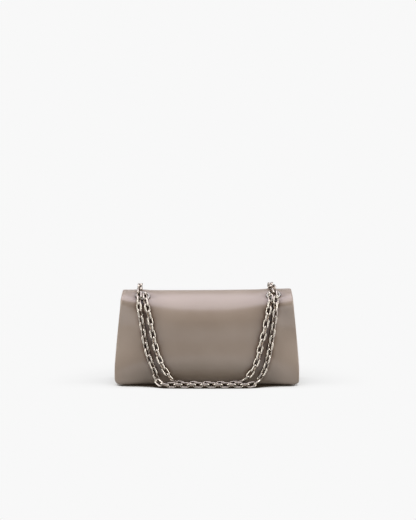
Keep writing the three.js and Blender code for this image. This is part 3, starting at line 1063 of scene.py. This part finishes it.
def add_softbox(name, place, aim, size, colour, watts):
    data = bpy.data.lights.new(name, "AREA")
    data.shape = "RECTANGLE"
    data.size, data.size_y = size
    data.color = colour
    data.energy = watts
    light = bpy.data.objects.new(name, data)
    light.location = place
    light.rotation_euler = (Vector(place) - Vector(aim)).to_track_quat("Z", "Y").to_euler()
    bpy.context.scene.collection.objects.link(light)


def floor_material():
    """A pale sweep, even in the picture, with a painted shadow under the bag and a little painted shade
    beside and behind it.
    """
    material, tree, surface, place = new_material("pale_floor")
    away = new_node(tree, "ShaderNodeVectorMath", {0: place}, operation="LENGTH").outputs["Value"]
    thrown = mapped(tree, away, FLOOR_NEAR_TO_FAR)
    colour = ramp(tree, thrown, brown_shades([(0.0, FLOOR_NEAR), (1.0, FLOOR_FAR)]))
    tree.links.new(colour, surface.inputs["Base Color"])
    surface.inputs["Roughness"].default_value = FLOOR_ROUGHNESS
    kind = "ShaderNodeAmbientOcclusion"
    close = new_node(tree, kind, {"Distance": SHADE_REACH}, samples=SHADE_SAMPLES)
    shade = ramp(tree, close.outputs["AO"], brown_shades(FLOOR_SHADE, SHADE_WARMTH))
    wide = new_node(tree, kind, {"Distance": SOFT_REACH}, samples=SHADE_SAMPLES)
    soft = ramp(tree, wide.outputs["AO"], brown_shades(SOFT_SHADE))
    depth = new_node(tree, "ShaderNodeSeparateXYZ", {0: place}).outputs["Y"]
    tone = multiplied(tree, shade, soft, mapped(tree, depth, SOFT_START))
    glow = new_node(tree, "ShaderNodeEmission", {"Color": tone})
    mirrored = mapped(tree, away, FLOOR_MIRRORED_FADE, FLOOR_MIRRORED, 0.0)
    path = tree.nodes.new("ShaderNodeLightPath").outputs
    even = math_node(tree, "MULTIPLY_ADD", path["Is Glossy Ray"], mirrored, path["Is Camera Ray"])
    both = new_node(tree, "ShaderNodeMixShader", {"Fac": even, 1: surface.outputs["BSDF"]})
    tree.links.new(glow.outputs["Emission"], both.inputs[2])
    tree.links.new(both.outputs["Shader"], tree.nodes["Material Output"].inputs["Surface"])
    return material


def add_studio():
    """Even room light, the softboxes, and the floor that turns up into a wall."""
    world = bpy.data.worlds.new("studio")
    world.use_nodes = True
    world.node_tree.nodes["Background"].inputs["Color"].default_value = (1.0, 1.0, 1.0, 1.0)
    world.node_tree.nodes["Background"].inputs["Strength"].default_value = ROOM_LIGHT
    bpy.context.scene.world = world
    bpy.context.scene.view_settings.view_transform = "Standard"
    for name, (place, aim, size, colour, watts) in SOFTBOXES.items():
        add_softbox(name, place, aim, size, colour, watts)
    turn_start = SWEEP_WALL - SWEEP_BEND
    profile = [(-SWEEP_HALF, 0.0), (turn_start, 0.0)]
    for step in range(1, SWEEP_STEPS + 1):
        turn = math.pi / 2 * step / SWEEP_STEPS
        onwards = SWEEP_BEND * math.sin(turn)
        rise = SWEEP_BEND - SWEEP_BEND * math.cos(turn)
        profile.append((turn_start + onwards, rise))
    profile.append((SWEEP_WALL, SWEEP_TOP))
    points = [(x, y, z) for y, z in profile for x in (-SWEEP_HALF, SWEEP_HALF)]
    faces = [(i, i + 1, i + 3, i + 2) for i in range(0, len(points) - 2, 2)]
    mesh = bpy.data.meshes.new("floor")
    mesh.from_pydata(points, [], faces)
    mesh.shade_smooth()
    mesh.materials.append(floor_material())
    floor = add_piece("floor", mesh)
    # So the painted shade in close corners leaves the floor out
    floor.visible_shadow = False  # the pale floor doesn't darken what stands on it


# The bag


def pouch_wall(name, place, size, step, material):
    return padded_sheet(name, place, size, PANEL_THICKNESS, PANEL_RIM, step, material)


def keep(piece, slot, *nodes):
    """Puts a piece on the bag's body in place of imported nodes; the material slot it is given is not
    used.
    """
    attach(piece, "root")
    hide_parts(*nodes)
    return piece


add_camera()
add_studio()

grain = leather_grain_group()
handling = handling_group()
painted_recess_shade = painted_shade_group()
leather = leather_material("taupe_leather", grain, painted_recess_shade, **TAUPE_LEATHER)
lining = leather_material("lining_leather", grain, painted_recess_shade, **LINING_LEATHER)
chain_metal = metal_material("chain_nickel", handling, painted_recess_shade, **CHAIN_NICKEL)
eyelet_metal = metal_material("eyelet_nickel", handling, painted_recess_shade, **EYELET_NICKEL)
thread = thread_material()

keep(chain_piece(chain_metal), "nickel", "chain_inner_strand", "chain_outer_strand")
keep(
    eyelet_piece(eyelet_metal),
    "nickel",
    "eyelet_front_left",
    "eyelet_front_right",
    "eyelet_back_left",
    "eyelet_back_right",
)

flap = padded_sheet("padded_flap", flap_place, FLAP_SIZE, FLAP_THICKNESS, FLAP_RIM, FLAP_STEP, leather)
flap = keep(cut_holes(flap), "leather", "flap")
stitches = lap_stitches(thread)
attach(stitches, "root")

front = pouch_wall("pouch_front", panel_place(FRONT), PANEL_SIZE, FRONT_STEP, lining)
keep(front, "lining", "front_panel")
back = pouch_wall("pouch_back", panel_place(BACK), PANEL_SIZE, BACK_STEP, leather)
keep(back, "leather", "back_panel")
for side, sign in (("left", -1), ("right", 1)):
    gusset = pouch_wall("pouch_gusset_" + side, gusset_place(sign), GUSSET_SIZE, GUSSET_STEP, leather)
    keep(gusset, "leather", "gusset_" + side)
base_size = (BASE_LENGTH, BASE_BACK - BASE_FRONT)
base = padded_sheet("pouch_base", base_place, base_size, BASE_THICKNESS, PANEL_RIM, BASE_STEP, leather)
keep(base, "leather", "base_panel")

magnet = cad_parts["magnet_closure"]
magnet.data.materials.clear()
magnet.data.materials.append(eyelet_metal)
